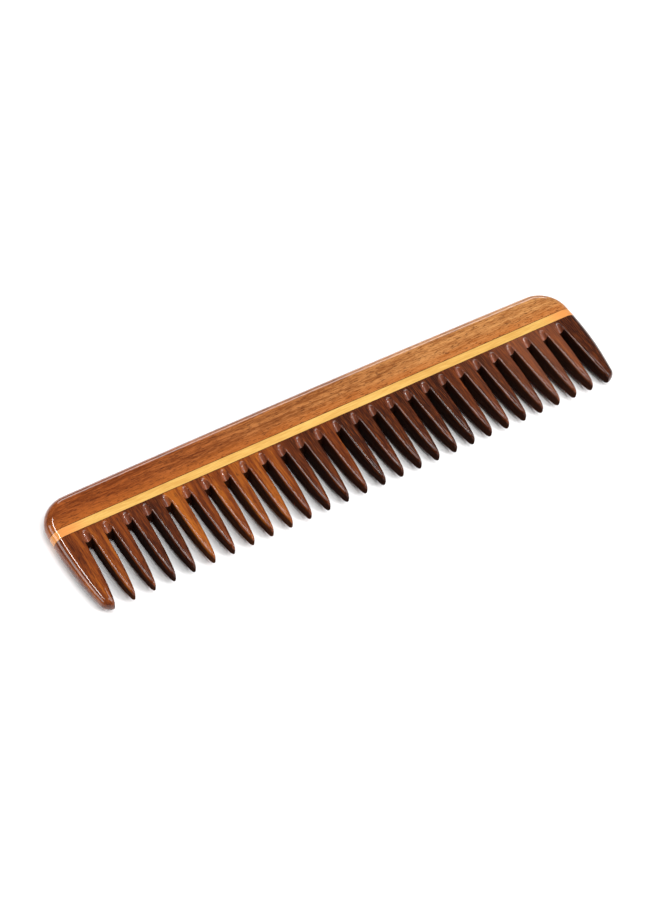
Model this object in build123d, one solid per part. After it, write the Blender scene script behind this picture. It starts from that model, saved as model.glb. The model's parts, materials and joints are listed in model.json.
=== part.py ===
from build123d import *
from math import atan2, cos, degrees, radians, sin, tan
import os

# Wide tooth comb, lying flat. Millimetres.
# +X runs along the comb, +Y from the tooth tips to the back edge, +Z is its thickness.
# The origin is the middle of its footprint, on the surface that it lies on.

# ---- overall sizes -------------------------------------------------------
comb_length = 190.0
comb_width = 42.0          # tooth tips to the middle of the back edge
comb_thickness = 7.0
back_crown = 0.7           # how far the middle of the back edge stands out past its ends
corner_radius = 10.0       # back corners, seen from above
rim_flat = 0.6             # left in the middle of the rounded back, ends and end teeth

# ---- the layers across the width -----------------------------------------
slot_depth = 22.8          # tooth tips to the slot roots
root_band = 3.7            # uncut dark wood between the slot roots and the first glue line
glue_thickness = 0.2
strip_width = 2.9

# ---- teeth ---------------------------------------------------------------
tooth_count = 28
end_tooth_reach = 5.9      # centre line of an end tooth to the end of the comb
tooth_root_width = 4.0
tooth_tip_width = 1.7
tooth_tip_round = 0.7      # plan radius of the two corners of a tip
tooth_edge_round = 0.6     # softening of the long edges
taper_length = 18.0        # the thinning towards the tips starts this far from them
tip_fall = 1.2             # how far each face has fallen away at the tips
end_sweep = 3.3            # how far the outer side of an end tooth has curved in at its tip
end_tip_round = 1.2

# ---- scoops that ease the hair into each slot root, on both faces ----------
scoop_margin = 0.8         # face left between a scoop and the first glue line
scoop_lip = 3.0            # wood left between the two scoops at the slot root
scoop_side = 0.2           # how much narrower a scoop's foot is than the slot, on each side
scoop_flare = 8.0          # degrees that its sides open towards the face

# ---- pieces of the tooth board ---------------------------------------------
section_count = 4          # lengths that the tooth board is divided into

# ---- places that follow from the sizes -------------------------------------
half_length = comb_length / 2
half_thickness = comb_thickness / 2
tip_y = -comb_width / 2
back_y = comb_width / 2
root_y = tip_y + slot_depth
lower_glue_y = root_y + root_band
strip_y = lower_glue_y + glue_thickness
upper_glue_y = strip_y + strip_width
rail_y = upper_glue_y + glue_thickness
end_y = back_y - back_crown
rim_round = (comb_thickness - rim_flat) / 2
tip_thickness = comb_thickness - 2 * tip_fall
tooth_pitch = (comb_length - 2 * end_tooth_reach) / (tooth_count - 1)
slot_width = tooth_pitch - tooth_root_width
scoop_reach = root_band - scoop_margin
scoop_depth = (comb_thickness - scoop_lip) / 2
scoop_foot_radius = slot_width / 2 - scoop_side

# ---- working values --------------------------------------------------------
over = 5.0                 # how far a cutting shape runs past what it cuts
sliver = 0.001             # the same, where running further would change the shape
tolerance = 0.01           # for telling which edges and corners lie on a line


def tooth_x(number):
    """Centre of a tooth, counted from 0 at the -X end."""
    return (number - (tooth_count - 1) / 2) * tooth_pitch


def slot_x(number):
    """Centre of the slot between a tooth and the next one."""
    return tooth_x(number) + tooth_pitch / 2


def band(low_y, high_y, low_x=-half_length - over, high_x=half_length + over):
    """A block through the whole thickness, between two widths and two lengths."""
    block = Box(high_x - low_x, high_y - low_y, comb_thickness + 2 * over)
    return Pos((low_x + high_x) / 2, (low_y + high_y) / 2, half_thickness) * block


def outline():
    """The comb seen from above, before its slots are cut."""
    tip_x = half_length - end_sweep
    right_back = TangentArc((0, back_y), (half_length, end_y), tangent=(1, 0))
    left_back = TangentArc((0, back_y), (-half_length, end_y), tangent=(-1, 0))
    right = Line((half_length, end_y), (half_length, strip_y))
    right_sweep = TangentArc((half_length, strip_y), (tip_x, tip_y), tangent=(0, -1))
    tips = Line((tip_x, tip_y), (-tip_x, tip_y))
    left_sweep = TangentArc((-half_length, strip_y), (-tip_x, tip_y), tangent=(0, -1))
    left = Line((-half_length, strip_y), (-half_length, end_y))
    face = make_face([right_back, right, right_sweep, tips, left_sweep, left, left_back])
    corners = [vertex for vertex in face.vertices() if abs(vertex.Y - end_y) < tolerance]
    straight_end = end_y - strip_y
    return fillet(corners, min(corner_radius, straight_end - tolerance))


def thickness_profile(width):
    """The thickness seen from the end, as a slab of the given width along X."""
    taper_y = tip_y + taper_length
    near = tip_y - sliver
    upper_tip = comb_thickness - tip_fall
    under = TangentArc((taper_y, 0), (near, tip_fall), tangent=(-1, 0))
    upper = TangentArc((taper_y, comb_thickness), (near, upper_tip), tangent=(-1, 0))
    far = back_y + over
    face = make_face([
        under, upper,
        Line((near, tip_fall), (near, upper_tip)),
        Line((taper_y, 0), (far, 0)),
        Line((far, 0), (far, comb_thickness)),
        Line((far, comb_thickness), (taper_y, comb_thickness)),
    ])
    return extrude(Plane.YZ * face, width / 2, both=True)


def blank():
    """The glued-up board: rounded at the rim and thinned towards the tips."""
    board = extrude(outline(), comb_thickness)
    faces = board.faces().sort_by(Axis.Z)
    rim = [edge for face in (faces[0], faces[-1]) for edge in face.edges()
           if edge.center().Y > tip_y + tolerance]
    board = fillet(rim, rim_round)
    return board & thickness_profile(comb_length + 2 * over)


def flank(side, root_half, tip_half):
    """One long side of a tooth in plan, from its root to its tip."""
    start = (side * root_half, root_y)
    return TangentArc(start, (side * tip_half, tip_y), tangent=(0, -1))


def long_edges(tooth):
    """The edges that run along the two faces of a tooth, from its root round its tip."""
    across = tooth.edges().filter_by(Axis.X)
    return [edge for edge in tooth.edges()
            if abs(edge.center().Z - half_thickness) > tip_thickness / 4
            and edge.center().Y < root_y - tolerance and edge not in across]


def inner_tooth():
    """One tooth on the Y axis, its long edges and tip softened."""
    root_half = tooth_root_width / 2
    tip_half = tooth_tip_width / 2
    face = make_face([
        flank(1, root_half, tip_half),
        Line((tip_half, tip_y), (-tip_half, tip_y)),
        flank(-1, root_half, tip_half),
        Line((-root_half, root_y), (root_half, root_y)),
    ])
    face = fillet(face.vertices().group_by(Axis.Y)[0], tooth_tip_round)
    tooth = extrude(face, comb_thickness) & thickness_profile(tooth_pitch)
    return fillet(long_edges(tooth), tooth_edge_round)


def end_tooth(board):
    """The wide tooth at the +X end, cut from the board so that it keeps the rounded rim."""
    centre = tooth_x(tooth_count - 1)
    inner_root = centre - tooth_root_width / 2
    inner_tip = centre - tooth_tip_width / 2
    outer_tip = half_length - end_sweep
    face = make_face([
        Pos(centre, 0, 0) * flank(-1, tooth_root_width / 2, tooth_tip_width / 2),
        Line((inner_tip, tip_y), (outer_tip, tip_y)),
        TangentArc((half_length, strip_y), (outer_tip, tip_y), tangent=(0, -1)),
        Line((half_length, strip_y), (inner_root, strip_y)),
        Line((inner_root, strip_y), (inner_root, root_y)),
    ])
    face = fillet(face.vertices().group_by(Axis.Y)[0], end_tip_round)
    tooth = extrude(face, comb_thickness) & thickness_profile(comb_length + 2 * over)
    tooth = tooth & band(tip_y - over, root_y)
    inner_edges = [edge for edge in long_edges(tooth) if edge.center().X < centre]
    return board & fillet(inner_edges, tooth_edge_round)


def scoop(number, upper):
    """A tapered cutter that opens one slot root towards one face."""
    length = 2 * over
    axis_angle = degrees(atan2(scoop_depth, scoop_reach)) + scoop_flare
    face_radius = scoop_foot_radius + length * tan(radians(scoop_flare))
    cutter = Cone(scoop_foot_radius, face_radius, length,
                  align=(Align.CENTER, Align.CENTER, Align.MIN))
    foot_y = root_y - scoop_foot_radius * sin(radians(axis_angle))
    foot_z = comb_thickness - scoop_depth + scoop_foot_radius * cos(radians(axis_angle))
    cutter = Pos(0, foot_y, foot_z) * Rot(X=axis_angle - 90) * cutter
    if not upper:
        cutter = mirror(cutter, Plane.XY.offset(half_thickness))
    return Pos(slot_x(number), 0, 0) * cutter


def tooth_board(board):
    """The dark board with all its teeth, as one solid."""
    solid = board & band(root_y, lower_glue_y)
    tooth = inner_tooth()
    for number in range(1, tooth_count - 1):
        solid += Pos(tooth_x(number), 0, 0) * tooth
    last = end_tooth(board)
    solid += [last, mirror(last, Plane.YZ)]
    cutters = [scoop(number, upper) for number in range(tooth_count - 1) for upper in (True, False)]
    return solid - cutters


def sections(solid):
    """The tooth board divided at the middle of slots, so that no tooth is cut."""
    last_teeth = [round(tooth_count * number / section_count) - 1 for number in range(1, section_count)]
    joints = [slot_x(number) for number in last_teeth]
    edges = [-half_length - over, *joints, half_length + over]
    for low, high in zip(edges, edges[1:]):
        yield solid & band(tip_y - over, lower_glue_y + over, low, high)


def main():
    board = blank()
    pieces = {
        "back_rail": board & band(rail_y, back_y + over),
        "glue_line_upper": board & band(upper_glue_y, rail_y),
        "accent_strip": board & band(strip_y, upper_glue_y),
        "glue_line_lower": board & band(lower_glue_y, strip_y),
    }
    for number, section in enumerate(sections(tooth_board(board)), 1):
        pieces[f"tooth_board_{number}"] = section
    os.makedirs("parts", exist_ok=True)
    for name, piece in pieces.items():
        export_step(piece, f"parts/{name}.step")


main()
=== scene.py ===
import json
from math import cos, pi, radians, sin, sqrt

import bmesh
import bpy
from mathutils import Matrix, Vector


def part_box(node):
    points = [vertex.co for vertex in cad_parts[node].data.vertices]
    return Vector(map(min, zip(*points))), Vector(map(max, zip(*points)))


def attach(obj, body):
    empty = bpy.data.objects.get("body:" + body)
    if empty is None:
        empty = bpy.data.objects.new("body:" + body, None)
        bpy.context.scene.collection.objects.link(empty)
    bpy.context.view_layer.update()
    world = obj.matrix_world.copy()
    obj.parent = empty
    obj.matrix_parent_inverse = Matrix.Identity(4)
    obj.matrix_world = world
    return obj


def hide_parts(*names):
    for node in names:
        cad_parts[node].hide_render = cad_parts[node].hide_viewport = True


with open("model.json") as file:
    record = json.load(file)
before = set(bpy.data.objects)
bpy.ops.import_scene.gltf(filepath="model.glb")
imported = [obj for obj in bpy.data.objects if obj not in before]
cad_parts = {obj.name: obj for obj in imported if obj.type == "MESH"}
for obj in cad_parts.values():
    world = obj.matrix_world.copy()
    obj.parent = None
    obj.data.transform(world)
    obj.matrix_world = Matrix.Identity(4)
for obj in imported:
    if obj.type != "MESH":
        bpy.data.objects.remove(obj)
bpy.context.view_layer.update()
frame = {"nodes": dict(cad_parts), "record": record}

# Wide tooth comb of laminated wood: a brown back rail, a pale strip and a dark tooth board, lacquered.
# Metres, in the part's own frame: +X along the comb, +Y from the tooth tips to the back, +Z up.

MM = 0.001

# ---- places taken from the frame -----------------------------------------------
rail_low, rail_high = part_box("back_rail")
strip_low, strip_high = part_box("accent_strip")
board_low, board_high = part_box("tooth_board_1")
middle_z = (rail_low[2] + rail_high[2]) / 2
half_thickness = (rail_high[2] - rail_low[2]) / 2
half_length = (rail_high[0] - rail_low[0]) / 2
tip_y = board_low[1]
board_y = board_high[1]
gap_boxes = [opening["box_m"] for opening in frame["record"]["physics"]["openings"]]
gap_centres = [(low[0] + high[0]) / 2 for low, high in gap_boxes]
pitch = gap_centres[1] - gap_centres[0]
tooth_centres = [gap_centres[0] - pitch / 2 + number * pitch for number in range(len(gap_centres) + 1)]

# ---- shape of the blank ----------------------------------------------------------
back_crown = 0.7 * MM
corner_radius = 10 * MM
rim_width = 4.3 * MM       # how far in from the outline the rounding of the rim starts
rim_steps = 12
corner_segments = 16
back_cuts = 60             # how finely the crowned back edge is divided
sharp_angle = radians(38)  # a fold from which an edge is a true corner
touching = 0.001 * MM      # places closer together than this count as one

# ---- shape of the teeth ------------------------------------------------------------
slot_depth = 22.8 * MM
root_half_width = 2.0 * MM
nose_power = 0.47          # fullness of a tooth's outline: 0.5 is an ellipse
nose_overrun = 1.1 * MM    # the outline's ellipse would end this far past the slot root
taper_length = 18 * MM
tip_half_thickness = 2.3 * MM
root_edge_width = 0.5 * MM   # rounding of the long edges, seen from above
tip_edge_width = 1.5 * MM
root_edge_drop = 0.6 * MM    # the same, seen from the side
tip_edge_drop = 1.9 * MM
face_crown = 0.12 * MM       # how far the face of a tooth is domed across its width
nose_length = 2.0 * MM       # how far from its tip the face of a tooth turns down
least_width = 0.12 * MM      # left at the very tip, so that its faces don't shrink to nothing
end_sweep = 3.3 * MM         # how far the outer side of an end tooth has curved in at its tip
end_nose_length = 2.4 * MM

# ---- shape of the scoops -------------------------------------------------------------
scoop_reach = 2.9 * MM
scoop_depth = 2.0 * MM
scoop_radius = 1.15 * MM
scoop_bowl = 1.5 * MM        # height of the round floor of a scoop
scoop_dish = 0.5             # how much fuller than a straight ramp the floor is cut, half way up
scoop_wall_start = 0.97      # share of the radius where the round floor turns into a straight wall
scoop_softness = 0.15 * MM   # rounding of the lip where a scoop meets the face
shoulder_fade = 1.3 * MM     # how far back from a slot root the rounding of the tooth edges runs out
scooped_fully = 0.4 * MM     # how far below the face a point counts as fully in a scoop, where its paler colour (end grain and painted sheen) and thinner coat are full

# ---- how finely the tooth board is divided ---------------------------------------------
tooth_rows = 36
band_rows = 12
flat_columns = 3
edge_columns = 8
scoop_columns = 10
end_flat_columns = 4
end_rim_columns = 10
tip_crowding = 1.25        # 1 spreads the rows of a tooth on a quarter circle, more crowds them at its tip

# ---- finish ------------------------------------------------------------------------
coat_weight = 0.9
coat_roughness = 0.06
wall_bareness = 0.88       # coat missing on the sawn walls of the slots
scoop_bareness = 0.4       # coat missing in the scoops
tone_change = 0.3          # share of the pitch over which one tooth's tone changes to the next

# How golden each tooth's wood is, from the -X end: 0 is the darkest, 1 the lightest.
tooth_tones = (
    0.55, 0.65, 0.45, 0.2, 0.15, 0.85, 0.5, 0.7, 0.75, 0.8, 0.55, 0.3, 0.15, 0.5,
    0.0, 0.2, 0.1, 0.1, 0.15, 0.0, 0.3, 0.4, 0.15, 0.35, 0.55, 0.4, 0.4, 0.0,
)


# ================================ meshes ================================

def finish_piece(name, bm, material, replaced):
    """Makes a mesh an object of the comb, smooth except along its true corners."""
    bmesh.ops.recalc_face_normals(bm, faces=bm.faces)
    for face in bm.faces:
        face.smooth = True
    for edge in bm.edges:
        edge.smooth = edge.is_manifold and edge.calc_face_angle() < sharp_angle
    mesh = bpy.data.meshes.new(name)
    bm.to_mesh(mesh)
    bm.free()
    piece = bpy.data.objects.new(name, mesh)
    bpy.context.scene.collection.objects.link(piece)
    mesh.materials.append(material)
    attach(piece, "root")
    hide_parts(*replaced)
    return piece


def close_below(bm):
    """Completes the upper half of a piece with its mirror image below the middle of the thickness."""
    whole = bm.verts[:] + bm.edges[:] + bm.faces[:]
    lower = bmesh.ops.duplicate(bm, geom=whole)["geom"]
    verts = [item for item in lower if isinstance(item, bmesh.types.BMVert)]
    faces = [item for item in lower if isinstance(item, bmesh.types.BMFace)]
    bmesh.ops.scale(bm, vec=(1, 1, -1), verts=verts, space=Matrix.Translation((0, 0, -middle_z)))
    bmesh.ops.reverse_faces(bm, faces=faces)
    bmesh.ops.remove_doubles(bm, verts=bm.verts, dist=touching)


def blank():
    """The glued-up board behind the teeth, crowned along the back and rounded all round its rim."""
    bm = bmesh.new()
    front_y = board_y - 3 * rim_width    # its rounded front edge lies in what the layers cut away
    end_y = rail_high[1] - back_crown
    outline = ((-half_length, front_y), (half_length, front_y), (half_length, end_y), (-half_length, end_y))
    verts = [bm.verts.new((x, y, middle_z)) for x, y in outline]
    bm.faces.new(verts)
    bmesh.ops.bevel(bm, geom=verts[2:], affect="VERTICES", offset=corner_radius,
                    segments=corner_segments, profile=0.5, material=-1)
    back = [edge for edge in bm.edges if all(vert.co.y > end_y - touching for vert in edge.verts)]
    bmesh.ops.subdivide_edges(bm, edges=back, cuts=back_cuts)
    for vert in bm.verts:
        share = max(0, (vert.co.y - strip_high[1]) / (end_y - strip_high[1]))
        vert.co.y += back_crown * share * (1 - (vert.co.x / half_length) ** 2)
    bm.faces.ensure_lookup_table()
    face = bm.faces[0]
    for step in range(rim_steps):
        start, end = step / rim_steps * pi / 2, (step + 1) / rim_steps * pi / 2
        bmesh.ops.inset_region(bm, faces=[face], thickness=rim_width * (cos(start) - cos(end)),
                               depth=half_thickness * (sin(end) - sin(start)), use_even_offset=True,
                               use_boundary=True)
    close_below(bm)
    return bm


def cut_off(bm, y, side):
    """Cuts away everything on one side of a plane across the comb, and closes the cut."""
    whole = bm.verts[:] + bm.edges[:] + bm.faces[:]
    bmesh.ops.bisect_plane(bm, geom=whole, dist=touching / 10, plane_co=(0, y, 0), plane_no=(0, side, 0),
                           clear_outer=True)
    rim = [edge for edge in bm.edges if edge.is_boundary]
    bmesh.ops.holes_fill(bm, edges=rim, sides=0)


def layer(name, node, material):
    """One layer of the back of the comb, cut from the blank between the faces of its CAD node."""
    low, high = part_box(node)
    bm = blank()
    cut_off(bm, low[1], -1)
    if high[1] < rail_high[1] - MM:
        cut_off(bm, high[1], 1)
    return finish_piece(name, bm, material, [node])


def rows():
    """Distances from the tooth tips to each row of the tooth board's grid, close together at the tip."""
    teeth = [slot_depth * (1 - cos(row / tooth_rows * pi / 2)) ** tip_crowding
             for row in range(tooth_rows + 1)]
    band = board_y - tip_y - slot_depth
    return teeth + [slot_depth + band * (row + 1) / band_rows for row in range(band_rows)]


def face_height(from_tip):
    """Half of the thickness, which thins in a curve towards the tips."""
    left = max(0, 1 - from_tip / taper_length)
    return half_thickness - (half_thickness - tip_half_thickness) * left ** 2


def tooth_half_width(from_tip):
    """Half of a tooth's width seen from above, close to a quarter of an ellipse."""
    share = 1 - min(from_tip, slot_depth) / (slot_depth + nose_overrun)
    full = (1 - (nose_overrun / (slot_depth + nose_overrun)) ** 2) ** nose_power
    return max(least_width, root_half_width * (1 - share ** 2) ** nose_power / full)


def end_half_width(from_tip):
    """Reach of an end tooth from its centre line to the end of the comb."""
    sweep_length = strip_low[1] - tip_y
    reach = half_length - tooth_centres[-1] - end_sweep * (1 - from_tip / sweep_length) ** 2
    left = max(0, 1 - from_tip / end_nose_length)
    return max(least_width, reach * sqrt(1 - left ** 2))


def nose(from_tip):
    """1 along a tooth, falling in a quarter circle to 0 at its tip."""
    left = max(0, 1 - from_tip / nose_length)
    return sqrt(1 - left ** 2)


def towards_tip(from_tip, root_value, tip_value):
    """A size that changes evenly from the slot root to the tip of a tooth."""
    left = max(0, 1 - from_tip / slot_depth)
    return root_value + (tip_value - root_value) * left


def crest(from_tip, turn, across=0):
    """Height of a tooth's face where its rounded edge has turned by an angle."""
    drop = towards_tip(from_tip, root_edge_drop, tip_edge_drop)
    # A share times the rest of it is at most 1/4, half way along, so 4 brings the dome to its full height.
    dome = towards_tip(from_tip, 0, 4 * face_crown) * min(1, from_tip / slot_depth) * across ** 2
    return face_height(from_tip) - dome - drop * (1 - nose(from_tip) * cos(turn))


def soften(depth):
    """A depth kept at 0 or more, with a rounded lip where it starts."""
    if depth > scoop_softness:
        return depth
    return max(0, depth + scoop_softness) ** 2 / (4 * scoop_softness)


def scooped(off_centre, past_root):
    """Depth of a scoop below the face, across from its middle and back from the slot root."""
    share = off_centre / scoop_radius
    round_share = min(share, scoop_wall_start)
    rise = scoop_bowl * (1 - sqrt(1 - round_share ** 2))
    steepness = scoop_bowl * scoop_wall_start / sqrt(1 - scoop_wall_start ** 2)
    rise += steepness * (share - round_share)
    left = 1 - past_root / scoop_reach
    return soften(scoop_depth * (left + scoop_dish * left * (1 - left)) - rise)


def slot_side(column, from_tip):
    """A point of the half of a tooth that faces a slot, with its half of the slot's root."""
    width = tooth_half_width(from_tip)
    edge = min(towards_tip(from_tip, root_edge_width, tip_edge_width), width)
    turn = 0
    if column <= flat_columns:
        x = (width - edge) * column / flat_columns
    elif column <= flat_columns + edge_columns:
        turn = (column - flat_columns) / edge_columns * pi / 2
        x = width - edge + edge * sin(turn)
    else:
        turn = pi / 2
        share = (column - flat_columns - edge_columns) / scoop_columns
        x = width + (pitch / 2 - width) * share
    if from_tip < slot_depth - touching:
        return x, crest(from_tip, turn, x / width)
    past_root = from_tip - slot_depth
    fade = max(0, 1 - past_root / shoulder_fade) ** 2
    shoulder = root_edge_drop * (1 - cos(turn)) * fade
    return x, half_thickness - max(shoulder, scooped(pitch / 2 - x, past_root))


def end_side(column, from_tip):
    """A point of the half of an end tooth that faces away from the slots, with the comb's rounded end."""
    width = end_half_width(from_tip)
    rim = min(rim_width, width)
    turn = 0
    if column <= end_flat_columns:
        x = (width - rim) * column / end_flat_columns
    else:
        turn = (column - end_flat_columns) / end_rim_columns * pi / 2
        x = width - rim + rim * sin(turn)
    return x, crest(from_tip, 0) * cos(turn)


def half_tooth(name, columns, place, slotted):
    """The upper face of half a tooth, with its centre line on X = 0, as a mesh to be copied."""
    stations = rows()
    bm = bmesh.new()
    bmesh.ops.create_grid(bm, x_segments=columns, y_segments=len(stations) - 1, size=0.5)
    in_slot = []
    for vert in bm.verts:
        column = round((vert.co.x + 0.5) * columns)
        row = round((vert.co.y + 0.5) * (len(stations) - 1))
        x, height = place(column, stations[row])
        vert.co = (x, tip_y + stations[row], middle_z + height)
        if slotted and row < tooth_rows and column > flat_columns + edge_columns:
            in_slot.append(vert)
    bmesh.ops.delete(bm, geom=in_slot, context="VERTS")
    mesh = bpy.data.meshes.new(name)
    bm.to_mesh(mesh)
    bm.free()
    return mesh


def add_half(board, half, centre, flipped):
    """Copies half a tooth into the board at a tooth's centre line, turned over for its -X side."""
    vert_count, face_count = len(board.verts), len(board.faces)
    board.from_mesh(half)
    board.verts.ensure_lookup_table()
    board.faces.ensure_lookup_table()
    verts = board.verts[vert_count:]
    if flipped:
        bmesh.ops.scale(board, vec=(-1, 1, 1), verts=verts)
        bmesh.ops.reverse_faces(board, faces=board.faces[face_count:])
    bmesh.ops.translate(board, vec=(centre, 0, 0), verts=verts)


def tooth_board(material):
    """The whole tooth board as one unbroken piece of wood."""
    slot_half = half_tooth("slot_half", flat_columns + edge_columns + scoop_columns, slot_side, True)
    end_half = half_tooth("end_half", end_flat_columns + end_rim_columns, end_side, False)
    board = bmesh.new()
    for centre in tooth_centres:
        add_half(board, end_half if centre == tooth_centres[0] else slot_half, centre, True)
        add_half(board, end_half if centre == tooth_centres[-1] else slot_half, centre, False)
    bmesh.ops.remove_doubles(board, verts=board.verts, dist=touching)
    outline = [edge for edge in board.edges if edge.is_boundary]
    wall = bmesh.ops.extrude_edge_only(board, edges=outline)["geom"]
    for item in wall:
        if isinstance(item, bmesh.types.BMVert):
            item.co.z = middle_z
    bmesh.ops.remove_doubles(board, verts=board.verts, dist=touching)
    close_below(board)
    replaced = [node for node in frame["nodes"] if node.startswith("tooth_board")]
    piece = finish_piece("tooth_board", board, material, replaced)
    bpy.data.meshes.remove(slot_half)
    bpy.data.meshes.remove(end_half)
    paint_tones(piece.data)
    paint_cuts(piece.data)
    return piece


def paint_cuts(mesh):
    """Marks the points that lie between the end teeth's centre lines, and the points in the scoops."""
    between = mesh.attributes.new("between_teeth", "FLOAT", "POINT")
    scoops = mesh.attributes.new("scooped", "FLOAT", "POINT")
    for vert, inside, cut in zip(mesh.vertices, between.data, scoops.data):
        inside.value = 1.0 if abs(vert.co.x) < tooth_centres[-1] else 0.0
        sunk = half_thickness - abs(vert.co.z - middle_z)
        behind_root = vert.co.y > tip_y + slot_depth - touching
        cut.value = min(1.0, sunk / scooped_fully) if behind_root and inside.value else 0.0


def paint_tones(mesh):
    """Gives each point of the tooth board its wood's tone, changing between one tooth and the next."""
    tones = mesh.attributes.new("wood_tone", "FLOAT", "POINT")
    last = len(tooth_tones) - 1
    for vert, tone in zip(mesh.vertices, tones.data):
        place = min(max((vert.co.x - tooth_centres[0]) / pitch, 0), last)
        left = min(int(place), last - 1)
        blend = min(max((place - left - 0.5) / tone_change + 0.5, 0), 1)
        blend = blend * blend * (3 - 2 * blend)
        tone.value = tooth_tones[left] + (tooth_tones[left + 1] - tooth_tones[left]) * blend


# ================================ finishes ================================

class Socket:
    """An output of a shader node, so that sums on it read as plain maths."""

    def __init__(self, finish, output):
        self.finish = finish
        self.output = output

    def maths(self, operation, first, second):
        return self.finish.node("ShaderNodeMath", {"operation": operation}, {0: first, 1: second})

    def __add__(self, other):
        return self.maths("ADD", self, other)

    def __radd__(self, other):
        return self.maths("ADD", other, self)

    def __sub__(self, other):
        return self.maths("SUBTRACT", self, other)

    def __rsub__(self, other):
        return self.maths("SUBTRACT", other, self)

    def __mul__(self, other):
        return self.maths("MULTIPLY", self, other)

    def __rmul__(self, other):
        return self.maths("MULTIPLY", other, self)


class Finish:
    """A material being built up from its nodes."""

    def __init__(self, name):
        self.material = bpy.data.materials.new(name)
        self.material.use_nodes = True
        self.tree = self.material.node_tree
        self.shader = self.tree.nodes["Principled BSDF"]
        self.place = self.node("ShaderNodeTexCoord", output="Object")

    def put(self, socket, value):
        if isinstance(value, Socket):
            self.tree.links.new(value.output, socket)
        else:
            socket.default_value = value

    def node(self, kind, settings=None, inputs=None, output=0):
        """Any node: its settings first, then its inputs, and the output that is wanted."""
        node = self.tree.nodes.new(kind)
        for name, value in (settings or {}).items():
            if name == "stops":
                ramp = node.color_ramp.elements
                while len(ramp) < len(value):
                    ramp.new(0.5)
                for stop, (position, colour) in zip(ramp, value):
                    stop.position = position
                    stop.color = (*colour, 1)
            else:
                setattr(node, name, value)
        for name, value in (inputs or {}).items():
            self.put(node.inputs[name], value)
        return Socket(self, node.outputs[output])

    def surface(self, **inputs):
        """Sets the shader's own inputs, with underscores for the spaces in their names."""
        for name, value in inputs.items():
            self.put(self.shader.inputs[name.replace("_", " ")], value)
        return self.material

    def stretched(self, scale, offset=(0, 0, 0)):
        """Object coordinates stretched along each axis, so that a pattern runs with the grain."""
        return self.node("ShaderNodeMapping", {"vector_type": "POINT"},
                         {"Vector": self.place, "Scale": scale, "Location": offset})

    def noise(self, vector, detail=3, roughness=0.55, distortion=0):
        return self.node("ShaderNodeTexNoise", None, {
            "Vector": vector, "Scale": 1, "Detail": detail, "Roughness": roughness,
            "Distortion": distortion}, "Fac")

    def step(self, value, low, high, result_low=0, result_high=1):
        """A soft step: result_low up to low, result_high from high on."""
        return self.node("ShaderNodeMapRange", {"interpolation_type": "SMOOTHSTEP"}, {
            "Value": value, "From Min": low, "From Max": high,
            "To Min": result_low, "To Max": result_high})

    def mix(self, share, first, second):
        """The first colour where share is 0, the second where it is 1."""
        colours = [value if isinstance(value, Socket) else (*value, 1) for value in (first, second)]
        return self.node("ShaderNodeMix", {"data_type": "RGBA"}, {0: share, 6: colours[0], 7: colours[1]}, 2)

    def axis(self, letter):
        return self.node("ShaderNodeSeparateXYZ", None, {"Vector": self.place}, letter)

    def attribute(self, name):
        return self.node("ShaderNodeAttribute", {"attribute_name": name}, None, "Fac")

    def size_of(self, value):
        """A value without its sign."""
        return self.node("ShaderNodeMath", {"operation": "ABSOLUTE"}, {0: value})

    def upright(self):
        """1 where the surface stands upright, as the walls of the slots do, and 0 where it lies flatter."""
        normal = self.node("ShaderNodeNewGeometry", output="Normal")
        up = self.node("ShaderNodeSeparateXYZ", None, {"Vector": normal}, "Z")
        return self.step(self.size_of(up), 0.12, 0.5, 1, 0)

    def bump(self, height, distance, strength):
        return self.node("ShaderNodeBump", None, {
            "Height": height, "Distance": distance, "Strength": strength})

    def lacquered(self, coat=coat_weight, **inputs):
        """A matt ground under a clear coat, which gives all of the gloss."""
        return self.surface(Specular_IOR_Level=0.0, Coat_Weight=coat, Coat_Roughness=coat_roughness, **inputs)


def rail_wood():
    """Brown wood with its grain along the comb, redder at the -X end and more golden at the +X end."""
    wood = Finish("rail_wood")
    along = wood.axis("X")
    across = wood.axis("Y")
    cloud = wood.noise(wood.stretched((26, 120, 120)), detail=4)
    figure = wood.noise(wood.stretched((60, 700, 700)), detail=5, roughness=0.65, distortion=0.6)
    fibre = wood.noise(wood.stretched((360, 2800, 2800)), detail=3, roughness=0.6)
    pore_field = wood.noise(wood.stretched((600, 4200, 4200), (3, 1, 2)), detail=1)
    pores = wood.step(pore_field, 0.58, 0.66)

    golden = wood.step(along + (cloud - 0.5) * (60 * MM), -85 * MM, 90 * MM)
    dark = wood.mix(golden, (0.105, 0.021, 0.004), (0.235, 0.078, 0.019))
    light = wood.mix(golden, (0.260, 0.064, 0.013), (0.480, 0.222, 0.072))
    colour = wood.mix(wood.step(figure * 0.5 + fibre * 0.5, 0.38, 0.62), dark, light)
    warm = wood.step(across + (figure - 0.5) * (3 * MM), strip_high[1] + 5 * MM, strip_high[1], 0, 0.55)
    colour = wood.mix(warm, colour, (0.38, 0.105, 0.018))
    colour = wood.mix(pores * 0.75, colour, (0.070, 0.018, 0.006))
    grain = wood.bump(fibre * 0.5 + (1 - pores) * 0.5, 0.03 * MM, 0.5)
    return wood.lacquered(Base_Color=colour, Roughness=0.30 + fibre * 0.12, Normal=grain)


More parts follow.
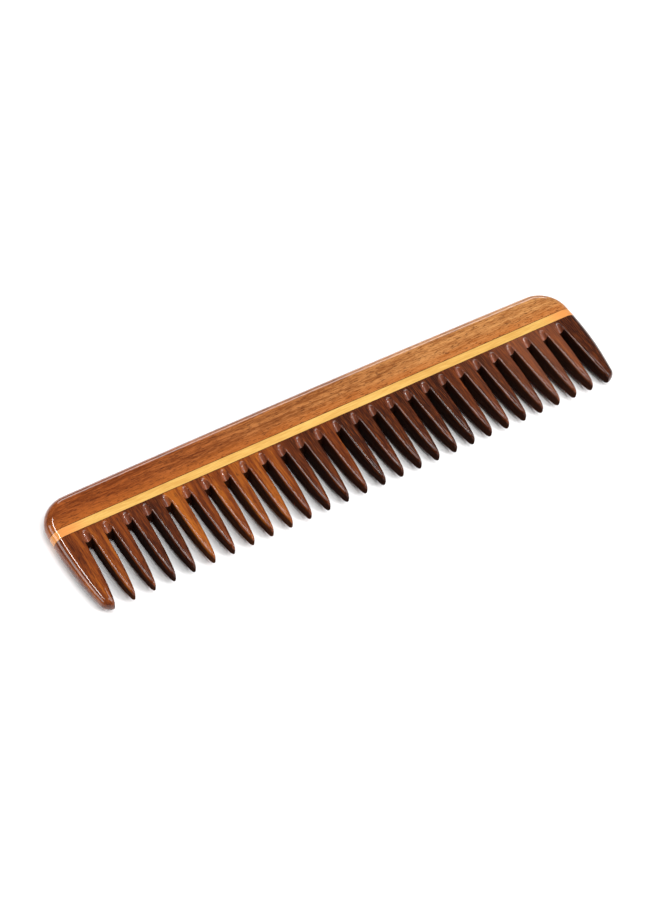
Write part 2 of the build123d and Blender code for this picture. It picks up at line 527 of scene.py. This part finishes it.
def strip_wood():
    """Pale yellow wood, a little more orange where its end grain shows."""
    wood = Finish("strip_wood")
    along = wood.axis("X")
    cloud = wood.noise(wood.stretched((40, 200, 200)), detail=3)
    fibre = wood.noise(wood.stretched((220, 2600, 2600)), detail=4, roughness=0.65)
    colour = wood.mix(wood.step(fibre * 0.6 + cloud * 0.4, 0.35, 0.68),
                      (0.48, 0.255, 0.060), (0.62, 0.385, 0.110))
    end_grain = wood.step(wood.size_of(along), half_length - 14 * MM, half_length - 4 * MM, 0, 0.75)
    colour = wood.mix(end_grain, colour, (0.58, 0.20, 0.055))
    grain = wood.bump(fibre, 0.02 * MM, 0.4)
    return wood.lacquered(Base_Color=colour, Roughness=0.30 + fibre * 0.10, Normal=grain)


def tooth_wood():
    """Dark wood with its grain along the teeth and a tone of its own in each tooth, with painted shade on the
    slot walls and a paler colour in the scoops that is partly end grain and partly painted sheen.
    """
    wood = Finish("tooth_wood")
    tone = wood.attribute("wood_tone")
    cloud = wood.noise(wood.stretched((150, 30, 90)), detail=3)
    figure = wood.noise(wood.stretched((900, 55, 500)), detail=5, roughness=0.6, distortion=0.5)
    fibre = wood.noise(wood.stretched((4200, 200, 2600)), detail=3, roughness=0.6)
    pore_field = wood.noise(wood.stretched((5200, 420, 3600), (1, 4, 2)), detail=1)
    pores = wood.step(pore_field, 0.58, 0.66)

    golden = wood.step(tone + (figure - 0.5) * 1.6 + (cloud - 0.5) * 0.5, -0.15, 1.15)
    colour = wood.node("ShaderNodeValToRGB", {"stops": (
        (0.0, (0.024, 0.0062, 0.0034)),
        (0.35, (0.066, 0.0140, 0.0048)),
        (0.65, (0.140, 0.0300, 0.0064)),
        (1.0, (0.320, 0.0900, 0.0120)),
    )}, {"Fac": golden}, "Color")
    colour = wood.mix(wood.step(fibre, 0.45, 0.72, 0, 0.5), colour, (0.24, 0.060, 0.012))
    colour = wood.mix(pores * 0.6, colour, (0.022, 0.008, 0.006))
    washed = wood.step(wood.axis("X"), 30 * MM, 80 * MM, 0, 0.6) * tone
    colour = wood.mix(washed, colour, (0.185, 0.078, 0.046))
    in_scoop = wood.attribute("scooped")
    # The scoops are painted paler and pinker. This is partly the end grain the scoops cut open and partly a
    # painted sheen for the light their sloping floors catch.
    colour = wood.mix(in_scoop * figure * 0.65, colour, (0.280, 0.088, 0.048))
    # Painted shade: the upright walls between the teeth are darkened almost to black, standing in for the
    # shade deep in the narrow slots. The same mask also thins the coat there.
    shaded_walls = wood.upright() * wood.attribute("between_teeth")
    colour = wood.mix(shaded_walls * 0.85, colour, (0.012, 0.0045, 0.003))
    grain = wood.bump(fibre * 0.4 + figure * 0.3 + (1 - pores) * 0.3, 0.04 * MM, 0.6)
    coat = coat_weight - shaded_walls * wall_bareness - in_scoop * (1 - shaded_walls) * scoop_bareness
    return wood.lacquered(coat, Base_Color=colour, Roughness=0.26 + fibre * 0.12, Normal=grain)


def glue_line():
    """The dark set glue between two layers."""
    glue = Finish("glue_line")
    specks = glue.noise(glue.stretched((900, 900, 900)), detail=2)
    colour = glue.mix(specks, (0.030, 0.010, 0.005), (0.075, 0.026, 0.010))
    return glue.lacquered(Base_Color=colour, Roughness=0.35 + specks * 0.1)


# ================================ studio ================================

def table_top():
    """The pale, slightly shiny table that the comb lies on."""
    cover = Finish("table_cover")
    cloud = cover.noise(cover.stretched((3, 3, 3)), detail=2)
    colour = cover.mix(cloud, (0.86, 0.86, 0.865), (0.90, 0.895, 0.895))
    cover.surface(Base_Color=colour, Roughness=0.22)
    half_size = 1.5
    gap = 0.05 * MM            # so that the table and the underside of the comb don't share a plane
    bm = bmesh.new()
    bmesh.ops.create_grid(bm, x_segments=1, y_segments=1, size=half_size)
    bmesh.ops.translate(bm, vec=(0, 0, rail_low[2] - gap), verts=bm.verts)
    mesh = bpy.data.meshes.new("table_top")
    bm.to_mesh(mesh)
    bm.free()
    mesh.materials.append(cover.material)
    table = bpy.data.objects.new("table_top", mesh)
    bpy.context.scene.collection.objects.link(table)


def aim(thing, direction, distance, target, roll=0):
    """Puts a light or camera off along a direction from its target, facing the target."""
    back = Vector(direction).normalized()
    turn = (-back).to_track_quat("-Z", "Y").to_matrix().to_4x4()
    thing.matrix_world = (Matrix.Translation(Vector(target) + back * distance) @ turn
                          @ Matrix.Rotation(roll, 4, "Z"))


def soft_light(name, direction, distance, size, power):
    """A rectangular light that faces the comb."""
    data = bpy.data.lights.new(name, "AREA")
    data.shape = "RECTANGLE"
    data.size, data.size_y = size
    data.energy = power
    light = bpy.data.objects.new(name, data)
    bpy.context.scene.collection.objects.link(light)
    aim(light, direction, distance, (0, 0, middle_z))


def studio():
    """A pale table under soft light from above and in front, with lower lights for the gloss of the rims."""
    scene = bpy.context.scene
    scene.view_settings.view_transform = "Standard"
    world = bpy.data.worlds.new("room")
    world.use_nodes = True
    background = world.node_tree.nodes["Background"]
    background.inputs["Color"].default_value = (1, 1, 1, 1)
    background.inputs["Strength"].default_value = 0.10
    scene.world = world
    table_top()
    soft_light("overhead", (0.08, -0.2, 1), 1.2, (0.8, 1.2), 14)
    soft_light("front", (0.37, -0.62, 0.68), 1.0, (1.1, 1.1), 7)
    soft_light("key", (0.40, -0.62, 0.60), 1.2, (0.12, 0.12), 4.5)
    soft_light("left", (-0.85, 0.35, 0.34), 1.0, (0.7, 0.25), 3)
    soft_light("back_left", (-0.52, 0.45, 0.66), 1.0, (0.7, 0.04), 3.5)
    soft_light("low_back", (0.37, 0.88, 0.30), 1.0, (0.9, 0.18), 3)

    data = bpy.data.cameras.new("camera")
    data.lens = 72
    camera = bpy.data.objects.new("camera", data)
    scene.collection.objects.link(camera)
    swing, rise, roll = radians(37.0), radians(52.7), radians(6.94)
    direction = (-sin(swing) * cos(rise), -cos(swing) * cos(rise), sin(rise))
    distance = 555.3 * MM
    aim(camera, direction, distance, (-5.0 * MM, -2.2 * MM, middle_z), roll)
    scene.camera = camera


layer("back_rail_wood", "back_rail", rail_wood())
layer("accent_strip_wood", "accent_strip", strip_wood())
glue = glue_line()
layer("glue_line_upper_film", "glue_line_upper", glue)
layer("glue_line_lower_film", "glue_line_lower", glue)
tooth_board(tooth_wood())
studio()
